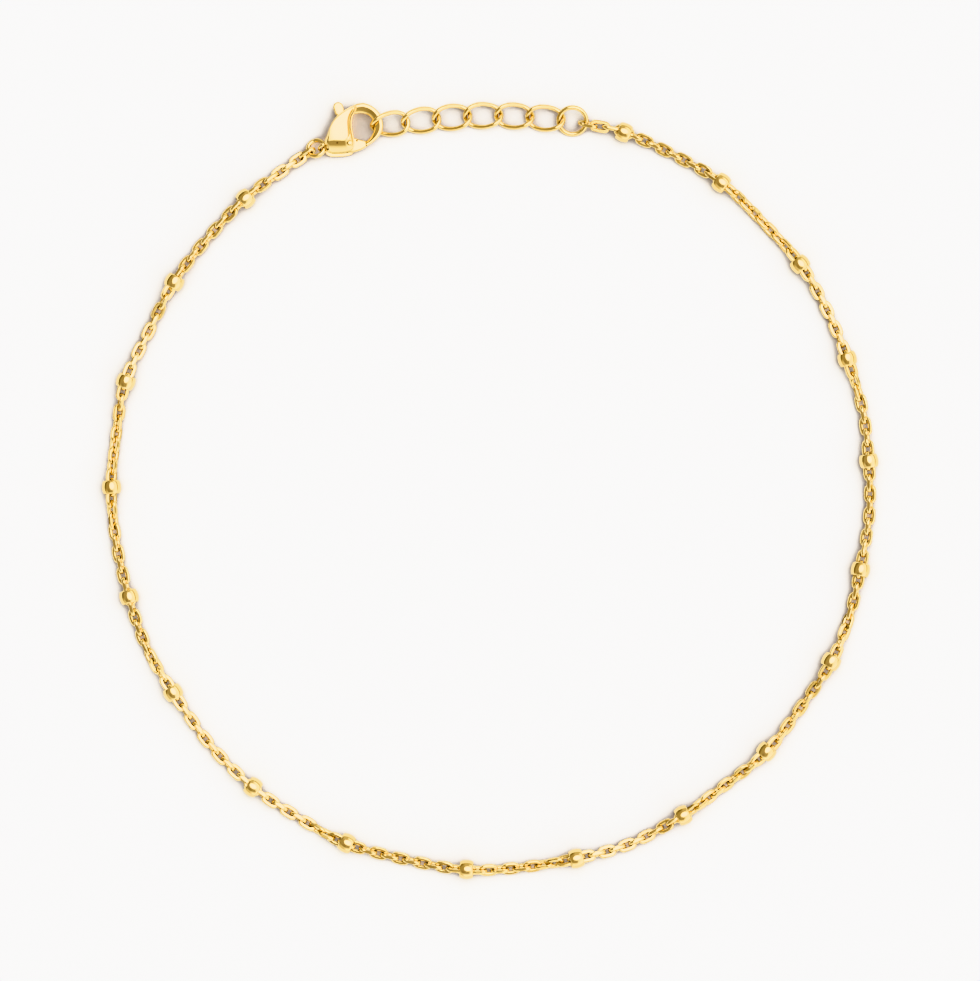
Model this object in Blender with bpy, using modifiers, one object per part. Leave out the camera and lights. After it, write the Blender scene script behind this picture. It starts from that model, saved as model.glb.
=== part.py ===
"""A gold chain anklet with small beads, lying in a loop on a table.

A fine cable chain runs through nineteen drilled beads. One end hangs on an end ring and six larger
curb links, the extender. The other end hangs on a jump ring and a lobster clasp, and the clasp's
hook holds the first extender link, so the anklet is a closed loop.

Metres, +Z up, the table is z = 0, and the loop's middle is the origin.
"""

import math

import bmesh
import bpy
from mathutils import Matrix, Vector

MM = 0.001

# Size across of the loop that the chain lies in, measured to the middle of the chain
LOOP_DIAMETER = 80.8 * MM

# The smallest gap between two pieces that touch on the real anklet
PLAY = 0.1 * MM

# Fine cable chain: a plain tube as wide as its links, with a real link at each end
CHAIN_WIDTH = 1.25 * MM
CHAIN_WIRE = 0.38 * MM
CHAIN_LINK_LENGTH = 1.9 * MM
CHAIN_LINK_WIDTH = 1.36 * MM
END_LINK_PLAY = 0.17 * MM
CHAIN_SIDES_RESOLUTION = 2
STRETCH_POINTS = 4
CHAIN_RISE_LENGTH = 3.0 * MM

# Beads: rondelles with a bore that the chain runs through
BEAD_LENGTH = 1.4 * MM
BEAD_WALL = 0.31 * MM
BEAD_PLAY = 0.09 * MM
BEAD_SEAT = 0.5 * MM
BEAD_SIDES = 16
BEAD_PROFILE_STEPS = 7

# Extender: six curb links, twisted so that the chain lies flat
LINK_WIRE = 0.4 * MM
LINK_LENGTH = 4.23 * MM
LINK_WIDTH = 2.85 * MM
LINK_TWIST = 0.4 * MM
LINK_POINTS = 16

# End ring and jump ring
END_RING_WIRE = 0.42 * MM
END_RING_DIAMETER = 3.4 * MM
END_RING_TILT = math.radians(21)
JUMP_RING_WIRE = 0.4 * MM
JUMP_RING_DIAMETER = 2.22 * MM
JUMP_RING_HEADING = math.radians(3)
JUMP_RING_RISE = math.radians(15)
JUMP_RING_TILT = math.radians(-21)
RING_POINTS = 16

# Lobster clasp, measured along its length from tail to nose and across it to the thumb tab
CLASP_LENGTH = 7.0 * MM
CLASP_WIDTH = 4.65 * MM
CLASP_HEADING = math.radians(22)
BACK_WALL = 0.6 * MM
FRONT_WALL = 0.35 * MM
CROWN_HEIGHT = 0.6 * MM
HOOK_WIDTH = 0.95 * MM
HOOK_THICKNESS = 0.82 * MM
HOOK_TIP_WIDTH = 0.68 * MM
EYE_WIRE = 0.34 * MM
EYE_DIAMETER = 1.44 * MM
EYE_TILT = math.radians(55)
EYE_POINTS = 14

# Lever of the clasp: its plate turns on the rivet between the casing's two walls
LEVER_THICKNESS = 0.62 * MM
LEVER_SWING = math.radians(22)
RIVET_RADIUS = 0.25 * MM
RIVET_HEAD_RADIUS = 0.36 * MM
RIVET_STAND = 0.45 * MM
ARM_WIDTH = 0.8 * MM
ARM_HEADING = math.radians(86)
TAB_WIDTH = 1.06 * MM
TAB_REACH = 1.3 * MM

# Places in the loop are given on a loop of this many units across
LOOP_UNITS = 80.8

# The end ring's middle, from the loop's middle
END_RING_AT = (8.8, 39.4)

# Direction of the chain where it leaves each ring, turning from +X
CHAIN_LEAVES_END_RING = math.radians(-13)
CHAIN_LEAVES_JUMP_RING = math.radians(-146)

# Each extender link from the clasp to the end ring: which way it points and how far it is rolled
EXTENDER = (
    # heading, roll
    (6.5, 24.0),
    (6.5, 14.0),
    (5.0, 5.0),
    (1.5, 0.0),
    (-3.0, 0.0),
    (-5.5, 0.0),
)

# The chain's route from the jump ring to the end ring, from the loop's middle.
# Every second point is the middle of a bead.
CHAIN_ROUTE = (
    (-22.8, 33.6), (-26.1, 31.1),
    (-30.2, 26.8), (-33.7, 22.2),
    (-36.4, 17.0), (-38.9, 11.6),
    (-39.9, 5.9), (-40.4, 0.3),
    (-39.9, -5.5), (-38.5, -11.4),
    (-36.6, -16.9), (-33.8, -21.6),
    (-29.8, -27.3), (-25.3, -31.7),
    (-20.4, -35.0), (-15.3, -37.7),
    (-8.7, -39.5), (-2.5, -40.5),
    (3.2, -40.3), (9.2, -39.3),
    (14.9, -37.8), (20.6, -34.7),
    (25.1, -31.5), (29.5, -27.9),
    (33.1, -23.3), (36.4, -18.3),
    (38.4, -13.4), (39.5, -8.5),
    (40.5, -2.6), (40.4, 3.1),
    (39.8, 8.5), (38.1, 14.0),
    (36.0, 19.1), (33.1, 24.1),
    (29.3, 28.4), (24.7, 32.8),
    (19.6, 35.8), (14.3, 38.2),
)

# Casing of the clasp seen from the front, round from the eye, past the thumb tab and the hook's
# root and back along the gate. The rivet is the zero of both columns.
CASING_OUTLINE = (
    # share of clasp length, share of clasp width
    (-0.325, 0.230),
    (-0.209, 0.437),
    (-0.087, 0.602),
    (0.004, 0.677),
    (0.124, 0.735),
    (0.263, 0.763),
    (0.330, 0.735),
    (0.290, 0.640),
    (0.180, 0.520),
    (0.130, 0.340),
    (0.103, 0.180),
    (0.085, 0.030),
    (0.055, -0.110),
    (-0.025, -0.200),
    (-0.130, -0.215),
    (-0.255, -0.140),
    (-0.325, -0.020),
    (-0.330, 0.110),
)

# Sections of the casing from its back to the crown of its front
CASING_SECTIONS = (
    # share of the whole height up to the front's edge, share of the crown, size of the section
    (0.00, 0.00, 0.94),
    (0.10, 0.00, 1.00),
    (0.60, 0.00, 1.00),
    (1.00, 0.00, 0.97),
    (1.00, 0.35, 0.88),
    (1.00, 0.70, 0.70),
    (1.00, 0.92, 0.46),
    (1.00, 1.00, 0.20),
)

# The crown's ridge, from beside the eye to beside the hook's root
CROWN_RIDGE = (
    # share of clasp length, share of clasp width
    (-0.220, 0.110),
    (-0.090, 0.230),
    (0.040, 0.450),
)

# Middle line of the hook: part of an ellipse round the clasp's opening
HOOK_MIDDLE = (0.286, 0.280)
HOOK_REACH = (0.250, 0.376)
HOOK_ROOT_ANGLE = math.radians(112)
HOOK_TIP_ANGLE = math.radians(-98)
HOOK_TIP_DROP = 0.047
HOOKED_ANGLE = math.radians(-20)
HOOK_SECTIONS = 18
HOOK_SIDES = 12

# Where the eye and the gate sit on the clasp
EYE_AT = (-0.386, 0.136)
GATE_OUTLINE = (
    # share of clasp length, share of clasp width
    (-0.050, -0.190),
    (0.040, -0.222),
    (0.125, -0.232),
    (0.215, -0.212),
    (0.233, -0.080),
    (0.165, -0.058),
    (0.110, 0.000),
    (0.070, 0.070),
)

# Room for the gate: everything in front of this line, between the casing's two walls
GATE_SLOT = (
    # share of clasp length, share of clasp width
    (-0.075, -0.600),
    (0.600, -0.600),
    (0.600, 0.130),
    (0.068, 0.130),
    (-0.075, 0.000),
)

GOLD = (0.83, 0.56, 0.20, 1.0)


def plane_point(shares):
    """A place on the clasp, from its shares of the clasp's length and width."""
    along, across = shares
    return Vector((along * CLASP_LENGTH, across * CLASP_WIDTH))


def loop_point(place):
    """A place in the loop, on the table."""
    return Vector((*place, 0)) * (LOOP_DIAMETER / LOOP_UNITS)


def smooth(points, steps, closed=False):
    """A smooth line through points. An open line starts at the second and ends at the last but one."""
    count = len(points)
    spans = range(count) if closed else range(1, count - 2)
    line = []
    for k in spans:
        before, start, end, after = (points[(k + j) % count] for j in (-1, 0, 1, 2))
        for step in range(steps):
            t = step / steps
            bend = (2 * before - 5 * start + 4 * end - after) * t * t
            swing = (3 * start - before - 3 * end + after) * t * t * t
            line.append(0.5 * (2 * start + (end - before) * t + bend + swing))
    if not closed:
        line.append(points[-2].copy())
    return line


def fade(distance, flat, length):
    """One up to the flat distance, then falling gently to zero over the length."""
    share = min(max((distance - flat) / length, 0.0), 1.0)
    return 1.0 - share * share * (3.0 - 2.0 * share)


def gold(name):
    material = bpy.data.materials.new(name)
    material.use_nodes = True
    shader = material.node_tree.nodes["Principled BSDF"]
    shader.inputs["Base Color"].default_value = GOLD
    shader.inputs["Metallic"].default_value = 1.0
    shader.inputs["Roughness"].default_value = 0.18
    return material


def put(obj, collection, material_name=None):
    """Adds an object to a collection and, for a piece, gives it its own material."""
    collection.objects.link(obj)
    if material_name:
        obj.data.materials.append(gold(material_name))
    return obj


def wire(name, points, thickness, closed, resolution=1):
    """A round wire along points, as a curve object."""
    curve = bpy.data.curves.new(name, "CURVE")
    curve.dimensions = "3D"
    curve.bevel_depth = thickness / 2
    curve.bevel_resolution = resolution
    curve.use_fill_caps = not closed
    spline = curve.splines.new("POLY")
    spline.points.add(len(points) - 1)
    for knot, point in zip(spline.points, points):
        knot.co = (*point, 1.0)
    spline.use_cyclic_u = closed
    return bpy.data.objects.new(name, curve)


def meshed(curve_object, collection):
    """The curve object made a closed mesh object in the same place."""
    collection.objects.link(curve_object)
    bpy.context.view_layer.update()
    evaluated = curve_object.evaluated_get(bpy.context.evaluated_depsgraph_get())
    mesh = bpy.data.meshes.new_from_object(evaluated)
    shape = bmesh.new()
    shape.from_mesh(mesh)
    bmesh.ops.remove_doubles(shape, verts=shape.verts, dist=0.001 * MM)
    bmesh.ops.recalc_face_normals(shape, faces=shape.faces)
    shape.to_mesh(mesh)
    shape.free()
    solid = bpy.data.objects.new(curve_object.name + "_mesh", mesh)
    solid.matrix_world = curve_object.matrix_world
    bpy.data.objects.remove(curve_object)
    return solid


def loft(name, rings):
    """A closed body through rings that all have the same number of points."""
    shape = bmesh.new()
    rows = [[shape.verts.new(point) for point in ring] for ring in rings]
    for lower, upper in zip(rows, rows[1:]):
        for k in range(len(lower)):
            after = (k + 1) % len(lower)
            shape.faces.new((lower[k], lower[after], upper[after], upper[k]))
    shape.faces.new(rows[0])
    shape.faces.new(rows[-1])
    bmesh.ops.recalc_face_normals(shape, faces=shape.faces)
    mesh = bpy.data.meshes.new(name)
    shape.to_mesh(mesh)
    shape.free()
    return bpy.data.objects.new(name, mesh)


def plate(name, outline, low, high):
    """A flat plate with the given outline, between two heights."""
    rings = [[Vector((point.x, point.y, height)) for point in outline] for height in (low, high)]
    return loft(name, rings)


def joined(target, other, operation, tools):
    """Adds or cuts one body with another, which becomes a hidden tool."""
    tools.objects.link(other)
    other.hide_render = True
    other.display_type = "WIRE"
    change = target.modifiers.new(other.name, "BOOLEAN")
    change.operation = operation
    change.object = other
    change.solver = "EXACT"


def link_path(length, width, thickness, twist, count):
    """Middle line of an oval link. A curb link's two sides rise and fall in turn."""
    reach = (length - thickness) / 2
    half = (width - thickness) / 2
    path = []
    for k in range(count):
        angle = 2 * math.pi * k / count
        height = -twist * math.sin(2 * angle)
        path.append(Vector((reach * math.cos(angle), half * math.sin(angle), height)))
    return path


def ring_path(diameter, thickness, count):
    return link_path(diameter, diameter, thickness, 0.0, count)


def turn(heading, rise=0.0, roll=0.0):
    """Points +X along the heading and upwards by the rise, then rolls about it."""
    yaw = Matrix.Rotation(heading, 4, "Z")
    pitch = Matrix.Rotation(-rise, 4, "Y")
    return yaw @ pitch @ Matrix.Rotation(roll, 4, "X")


def end_link_reach():
    """Half the middle line's length of the link at an end of the chain."""
    return (CHAIN_LINK_LENGTH - CHAIN_WIRE) / 2


def chain_hold(ring_matrix, ring_diameter, ring_wire, angle):
    """Matrix of the chain's end link on a ring: +X leads away from the ring, at an angle round it."""
    around = Matrix.Rotation(angle, 4, "Z")
    far = (ring_diameter - ring_wire) / 2 + end_link_reach()
    far -= (CHAIN_WIRE + ring_wire) / 2 + END_LINK_PLAY
    upright = Matrix.Rotation(math.radians(90), 4, "X")
    return ring_matrix @ around @ Matrix.Translation((far, 0, 0)) @ upright


def bead_radius():
    return CHAIN_WIDTH / 2 + BEAD_PLAY + BEAD_WALL


def lying_height(roll, tilted_path, thickness):
    """Height of a wire piece's middle when its rolled middle line rests on the table."""
    rolled = Matrix.Rotation(roll, 4, "X")
    return thickness / 2 - min((rolled @ point).z for point in tilted_path)


def extender_places():
    """Matrix of each extender link, from the clasp to the end ring, and of the end ring."""
    path = link_path(LINK_LENGTH, LINK_WIDTH, LINK_WIRE, LINK_TWIST, LINK_POINTS)
    reach = (LINK_LENGTH - LINK_WIRE) / 2
    pitch = 2 * reach - LINK_WIRE - PLAY
    ring_reach = (END_RING_DIAMETER - END_RING_WIRE) / 2
    ring_pitch = reach + ring_reach - (LINK_WIRE + END_RING_WIRE) / 2 - PLAY
    ring_height = ring_reach * math.sin(END_RING_TILT) + END_RING_WIRE / 2
    headings = [math.radians(row[0]) for row in EXTENDER]
    rolls = [math.radians(row[1]) for row in EXTENDER]
    lying = [lying_height(roll, path, LINK_WIRE) for roll in rolls]
    joints = [hook_height()]
    joints += [max(pair) for pair in zip(lying, lying[1:])]
    joints.append(ring_height)

    spot = loop_point(END_RING_AT)
    ring = Matrix.Translation(spot + Vector((0, 0, ring_height)))
    ring = ring @ turn(headings[-1], 0.0, END_RING_TILT)
    places = []
    step = ring_pitch
    towards = headings[-1]
    for k in reversed(range(len(EXTENDER))):
        between = (headings[k] + towards) / 2
        spot = spot - step * Vector((math.cos(between), math.sin(between), 0))
        height = Vector((0, 0, (joints[k] + joints[k + 1]) / 2))
        rise = math.atan2(joints[k + 1] - joints[k], pitch)
        places.insert(0, Matrix.Translation(spot + height) @ turn(headings[k], rise, rolls[k]))
        step = pitch
        towards = headings[k]
    return places, ring


def hook_height():
    """Height of the clasp's middle plane, which the hook and the lever share."""
    return BACK_WALL + PLAY + LEVER_THICKNESS / 2


def hook_middle(angle):
    """Middle line of the hook, by the angle round the clasp's opening."""
    middle = plane_point(HOOK_MIDDLE)
    reach = plane_point(HOOK_REACH)
    below = min(max(-math.sin(angle), 0.0), 1.0)
    drop = HOOK_TIP_DROP * CLASP_WIDTH * below * below
    x = middle.x + reach.x * math.cos(angle)
    y = middle.y + reach.y * math.sin(angle) - drop
    return Vector((x, y))


def clasp_place(first_link):
    """Matrix of the clasp at its rivet, with its hook through the first extender link."""
    reach = (LINK_LENGTH - LINK_WIRE) / 2
    inside = reach - LINK_WIRE / 2 - HOOK_WIDTH / 2 - PLAY
    held = first_link @ Vector((-inside, 0, 0))
    own = hook_middle(HOOKED_ANGLE)
    heading = Matrix.Rotation(CLASP_HEADING, 4, "Z")
    rivet = held - heading @ Vector((own.x, own.y, 0))
    rivet.z = 0
    return Matrix.Translation(rivet) @ heading


def casing():
    """The clasp's two walls and crown, still solid."""
    outline = smooth([plane_point(row) for row in CASING_OUTLINE], 3, closed=True)
    ridge = [plane_point(row) for row in CROWN_RIDGE]
    edge = hook_height() + LEVER_THICKNESS / 2 + PLAY + FRONT_WALL

    def nearest(point):
        best = ridge[0]
        for start, end in zip(ridge, ridge[1:]):
            run = end - start
            share = min(max((point - start).dot(run) / run.dot(run), 0.0), 1.0)
            spot = start + run * share
            if (point - spot).length < (point - best).length:
                best = spot
        return best

    rings = []
    for wall_share, crown_share, size in CASING_SECTIONS:
        height = wall_share * edge + crown_share * CROWN_HEIGHT
        ring = []
        for point in outline:
            core = nearest(point)
            spot = core + (point - core) * size
            ring.append(Vector((spot.x, spot.y, height)))
        rings.append(ring)
    return loft("clasp_body", rings)


def hook():
    """The hook, a rounded bar that bends round the opening and thins towards its tip."""
    rings = []
    for k in range(HOOK_SECTIONS + 1):
        share = k / HOOK_SECTIONS
        angle = HOOK_ROOT_ANGLE + (HOOK_TIP_ANGLE - HOOK_ROOT_ANGLE) * share
        middle = hook_middle(angle)
        ahead = hook_middle(angle - 0.01) - hook_middle(angle + 0.01)
        out = Vector((-ahead.y, ahead.x)).normalized()
        thinning = max(share - 0.5, 0.0) * 2
        width = HOOK_WIDTH + (HOOK_TIP_WIDTH - HOOK_WIDTH) * thinning
        ring = []
        for side in range(HOOK_SIDES):
            around = 2 * math.pi * (side + 0.5) / HOOK_SIDES
            spot = middle + out * (width / 2 * math.cos(around))
            height = hook_height() + HOOK_THICKNESS / 2 * math.sin(around)
            ring.append(Vector((spot.x, spot.y, height)))
        rings.append(ring)
    return loft("hook", rings)


def fan(inner, outer, half_width, start, swing):
    """Plan of what a straight arm sweeps as it turns about the rivet, from one radius to another."""
    points = []
    steps = 8
    for k in range(steps + 1):
        way = start + swing * k / steps
        side = 0.0 if 0 < k < steps else (half_width if k else -half_width)
        ahead = Vector((math.cos(way), math.sin(way)))
        across = Vector((-ahead.y, ahead.x))
        points.append(ahead * outer + across * side)
    for k in reversed((0, 1)):
        way = start + swing * k
        ahead = Vector((math.cos(way), math.sin(way)))
        across = Vector((-ahead.y, ahead.x))
        points.append(ahead * inner + across * (half_width if k else -half_width))
    return points


def arm_length():
    """From the rivet to the end of the thumb tab, which stands out past the casing's edge."""
    edge = max(plane_point(row).y for row in CASING_OUTLINE[:5])
    return edge + TAB_REACH - PLAY


def lever_plan():
    """Outline of the lever: the gate on one side of the rivet, the arm and thumb tab on the other."""
    ahead = Vector((math.cos(ARM_HEADING), math.sin(ARM_HEADING)))
    across = Vector((-ahead.y, ahead.x))
    end = arm_length()
    tab = TAB_WIDTH / 2
    neck = arm_length() - TAB_REACH
    points = [plane_point(row) for row in GATE_OUTLINE]
    points.append(ahead * neck - across * ARM_WIDTH / 2)
    points.append(ahead * (neck + (TAB_WIDTH - ARM_WIDTH) / 2) - across * tab)
    for k in range(7):
        around = math.radians(-90 + 30 * k)
        middle = ahead * (end - tab)
        points.append(middle + (ahead * math.cos(around) + across * math.sin(around)) * tab)
    points.append(ahead * (neck + (TAB_WIDTH - ARM_WIDTH) / 2) + across * tab)
    points.append(ahead * neck + across * ARM_WIDTH / 2)
    points.append(across * ARM_WIDTH / 2 + ahead * 0.1 * MM)
    return points


def cylinder(name, radius, low, high, sides=16):
    ring = []
    for k in range(sides):
        angle = 2 * math.pi * k / sides
        ring.append(Vector((radius * math.cos(angle), radius * math.sin(angle))))
    return plate(name, ring, low, high)


def lever_slot():
    """Plans of the room that the casing leaves for the lever: arm, thumb tab and gate."""
    far = 2 * arm_length()
    neck = arm_length() - TAB_REACH
    arm = fan(-ARM_WIDTH / 2 - PLAY, far, ARM_WIDTH / 2 + PLAY, ARM_HEADING, LEVER_SWING)
    tab = fan(neck - 2 * PLAY, far, TAB_WIDTH / 2 + PLAY, ARM_HEADING, LEVER_SWING)
    gate = [plane_point(row) for row in GATE_SLOT]
    return {"arm_slot": arm, "tab_slot": tab, "gate_slot": gate}


def make_clasp(parts, tools, place):
    """The clasp's body with its slot, eye and rivet, and the lever that turns in it."""
    seat = bpy.data.objects.new("clasp_seat", None)
    seat.matrix_world = place
    parts.objects.link(seat)
    low = BACK_WALL
    high = BACK_WALL + LEVER_THICKNESS + 2 * PLAY
    front = high + FRONT_WALL

    body = put(casing(), parts, "clasp_body_gold")
    for name, plan in lever_slot().items():
        joined(body, plate(name, plan, low, high), "DIFFERENCE", tools)
    joined(body, hook(), "UNION", tools)
    eye_place = Matrix.Translation((*plane_point(EYE_AT), hook_height()))
    eye_place = eye_place @ Matrix.Rotation(EYE_TILT, 4, "X")
    eye_line = [eye_place @ point for point in ring_path(EYE_DIAMETER, EYE_WIRE, EYE_POINTS)]
    joined(body, meshed(wire("eye", eye_line, EYE_WIRE, True), tools), "UNION", tools)
    pin = cylinder("rivet", RIVET_RADIUS, low / 2, high + FRONT_WALL / 2)
    joined(body, pin, "UNION", tools)
    head = cylinder("rivet_head", RIVET_HEAD_RADIUS, high + FRONT_WALL / 2, front + RIVET_STAND)
    joined(body, head, "UNION", tools)

    lever = put(
        plate("clasp_lever", lever_plan(), low + PLAY, high - PLAY), parts, "clasp_lever_gold"
    )
    bore = cylinder("rivet_bore", RIVET_RADIUS + PLAY, low - PLAY, high + PLAY)
    joined(lever, bore, "DIFFERENCE", tools)
    for obj in (body, lever):
        obj.parent = seat
    for obj in tools.objects:
        if obj.parent is None:
            obj.parent = seat
    return body, lever


def make_rings(parts, link_places, ring_place, jump_place):
    """Extender links, end ring and jump ring."""
    path = link_path(LINK_LENGTH, LINK_WIDTH, LINK_WIRE, LINK_TWIST, LINK_POINTS)
    for k, place in enumerate(link_places, 1):
        link = wire(f"extender_link_{k}", path, LINK_WIRE, True)
        put(link, parts, f"extender_link_{k}_gold").matrix_world = place
    circle = ring_path(END_RING_DIAMETER, END_RING_WIRE, RING_POINTS)
    ring = wire("end_ring", circle, END_RING_WIRE, True)
    put(ring, parts, "end_ring_gold").matrix_world = ring_place
    circle = ring_path(JUMP_RING_DIAMETER, JUMP_RING_WIRE, RING_POINTS)
    ring = wire("jump_ring", circle, JUMP_RING_WIRE, True)
    put(ring, parts, "jump_ring_gold").matrix_world = jump_place


def jump_ring_place(clasp):
    """Matrix of the jump ring, whose wire runs through the middle of the clasp's eye."""
    reach = (JUMP_RING_DIAMETER - JUMP_RING_WIRE) / 2
    eye = clasp @ Vector((*plane_point(EYE_AT), hook_height()))
    lying = turn(JUMP_RING_HEADING, JUMP_RING_RISE, JUMP_RING_TILT)
    return Matrix.Translation(eye) @ lying @ Matrix.Translation((-reach, 0, 0))


def chain_line(first_hold, last_hold):
    """Points along the chain, and the two points on either side of each bead."""
    start = first_hold @ Vector((end_link_reach() - CHAIN_WIRE / 2, 0, 0))
    end = last_hold @ Vector((end_link_reach() - CHAIN_WIRE / 2, 0, 0))
    chosen = [loop_point(place) for place in CHAIN_ROUTE]
    controls = [first_hold.translation, start, *chosen, end, last_hold.translation]
    steps = 24
    dense = smooth([Vector((p.x, p.y, 0)) for p in controls], steps)
    run = [0.0]
    for here, there in zip(dense, dense[1:]):
        run.append(run[-1] + (there - here).length)
    beads_at = [run[steps * k] for k in range(2, len(chosen) + 1, 2)]

    seat = BEAD_LENGTH / 2 + BEAD_SEAT
    level = CHAIN_WIDTH / 2
    stops = [0.0]
    for spot in beads_at:
        stops += [spot - seat, spot + seat]
    stops.append(run[-1])

    def point_at(distance):
        k = max(j for j in range(len(run) - 1) if run[j] <= distance or j == 0)
        share = (distance - run[k]) / (run[k + 1] - run[k])
        spot = dense[k].lerp(dense[k + 1], share)
        near = min(abs(distance - bead) for bead in beads_at)
        lift = (bead_radius() - level) * fade(near, seat, CHAIN_RISE_LENGTH)
        lift_start = (start.z - level) * fade(distance, 0.0, CHAIN_RISE_LENGTH)
        lift_end = (end.z - level) * fade(run[-1] - distance, 0.0, CHAIN_RISE_LENGTH)
        spot.z = level + max(lift, lift_start, lift_end)
        return spot

    line = []
    for k in range(0, len(stops), 2):
        low, high = stops[k], stops[k + 1]
        for j in range(STRETCH_POINTS):
            line.append(point_at(low + (high - low) * j / (STRETCH_POINTS - 1)))
    seats = []
    for k in range(1, len(stops) - 1, 2):
        seats.append((point_at(stops[k]), point_at(stops[k + 1])))
    return line, seats


def make_chain(parts, tools, line, holds):
    """The chain's tube with a real link at each end, in one body."""
    tube = meshed(wire("tube", line, CHAIN_WIDTH, False, CHAIN_SIDES_RESOLUTION), tools)
    tube.name = "cable_chain"
    put(tube, parts, "cable_chain_gold")
    path = link_path(CHAIN_LINK_LENGTH, CHAIN_LINK_WIDTH, CHAIN_WIRE, 0.0, LINK_POINTS)
    for k, hold in enumerate(holds, 1):
        placed = [hold @ point for point in path]
        end_link = meshed(wire(f"chain_end_link_{k}", placed, CHAIN_WIRE, True), tools)
        joined(tube, end_link, "UNION", tools)


def make_beads(parts, seats):
    """The drilled beads, each turned about the straight run of chain inside it."""
    bore = CHAIN_WIDTH / 2 + BEAD_PLAY
    mesh = bpy.data.meshes.new("bead_profile")
    shape = bmesh.new()
    profile = []
    for k in range(BEAD_PROFILE_STEPS + 1):
        angle = math.radians(90 - 180 * k / BEAD_PROFILE_STEPS)
        radius = bore + BEAD_WALL * max(math.cos(angle), 0.0) ** 0.8
        profile.append(shape.verts.new((radius, 0, BEAD_LENGTH / 2 * math.sin(angle))))
    for k, knot in enumerate(profile):
        shape.edges.new((knot, profile[(k + 1) % len(profile)]))
    shape.to_mesh(mesh)
    shape.free()
    for k, (before, after) in enumerate(seats, 1):
        bead = bpy.data.objects.new(f"bead_{k:02d}", mesh.copy())
        put(bead, parts, f"bead_{k:02d}_gold")
        bead.location = (before + after) / 2
        bead.rotation_euler = (after - before).to_track_quat("Z", "Y").to_euler()
        spin = bead.modifiers.new("turned", "SCREW")
        spin.axis = "Z"
        spin.steps = BEAD_SIDES
        spin.render_steps = BEAD_SIDES
        spin.use_merge_vertices = True
        spin.merge_threshold = 0.001 * MM


def main():
    for obj in list(bpy.data.objects):
        bpy.data.objects.remove(obj, do_unlink=True)
    scene = bpy.context.scene
    parts = bpy.data.collections.new("chain_anklet")
    tools = bpy.data.collections.new("cutters")
    scene.collection.children.link(parts)
    scene.collection.children.link(tools)

    link_places, ring_place = extender_places()
    clasp = clasp_place(link_places[0])
    jump_place = jump_ring_place(clasp)
    make_clasp(parts, tools, clasp)
    make_rings(parts, link_places, ring_place, jump_place)

    ring_yaw = math.radians(EXTENDER[-1][0])
    holds = (
        chain_hold(
            jump_place,
            JUMP_RING_DIAMETER,
            JUMP_RING_WIRE,
            CHAIN_LEAVES_JUMP_RING - JUMP_RING_HEADING,
        ),
        chain_hold(
            ring_place, END_RING_DIAMETER, END_RING_WIRE, CHAIN_LEAVES_END_RING - ring_yaw
        ),
    )
    line, seats = chain_line(*holds)
    make_chain(parts, tools, line, holds)
    make_beads(parts, seats)


main()
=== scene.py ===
# %% [markdown]
# # A gold chain anklet with small beads
# The anklet lies flat in its loop and is seen from straight above. A model packed for physics is
# the fixed frame: it says where every piece is. This script gives each piece its real form and
# finish. Everything is in metres, +Z is up, and the table is z = 0.

import math

import bmesh
import bpy
import numpy as np
from mathutils import Matrix, Vector


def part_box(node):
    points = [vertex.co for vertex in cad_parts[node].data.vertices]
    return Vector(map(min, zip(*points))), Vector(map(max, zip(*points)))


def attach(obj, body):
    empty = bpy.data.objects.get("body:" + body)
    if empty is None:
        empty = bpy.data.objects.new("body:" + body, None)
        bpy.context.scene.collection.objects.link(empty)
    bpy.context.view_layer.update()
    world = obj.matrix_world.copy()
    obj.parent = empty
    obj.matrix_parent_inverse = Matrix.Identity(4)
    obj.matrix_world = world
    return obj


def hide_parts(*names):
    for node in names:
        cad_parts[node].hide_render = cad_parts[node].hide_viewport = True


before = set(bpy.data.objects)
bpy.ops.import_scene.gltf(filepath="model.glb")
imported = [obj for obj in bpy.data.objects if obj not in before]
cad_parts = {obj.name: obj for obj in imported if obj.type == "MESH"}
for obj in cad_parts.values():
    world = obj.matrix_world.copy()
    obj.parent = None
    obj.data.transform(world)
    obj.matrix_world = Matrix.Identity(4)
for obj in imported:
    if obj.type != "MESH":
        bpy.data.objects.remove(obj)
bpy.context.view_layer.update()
MM = 0.001

# %% [markdown]
# ## The camera
# A flat piece of jewellery is photographed from straight above. A long lens from well away keeps
# the far side of the loop as large as the near side, so no bead looks bigger than another. The lens
# follows from the width that the picture shows at the height of the chain.

# %% Camera
PICTURE_WIDTH = 104.57 * MM
CHAIN_LEVEL = 0.8 * MM
CAMERA_HEIGHT = 600 * MM
SENSOR_WIDTH = 36.0

camera_data = bpy.data.cameras.new("camera")
camera_data.type = "PERSP"
camera_data.sensor_fit = "HORIZONTAL"
camera_data.sensor_width = SENSOR_WIDTH
camera_data.lens = SENSOR_WIDTH * (CAMERA_HEIGHT - CHAIN_LEVEL) / PICTURE_WIDTH
camera_data.clip_start = 0.01
camera = bpy.data.objects.new("camera", camera_data)
camera.location = (0, -0.05 * MM, CAMERA_HEIGHT)
bpy.context.scene.collection.objects.link(camera)
bpy.context.scene.camera = camera
print("lens", round(camera_data.lens, 1))

# %% [markdown]
# ## Smooth lines and wires
# Rings, links and the hook are all wires bent along a line, so two helpers make most of the
# anklet. The first draws a smooth line through chosen points, and also smooths any other numbers
# that stand beside them in a table. The second sweeps a round section along such a line. Blender's
# own curve bevel could do that, but a mesh made point by point can be filed flat later.


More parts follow.
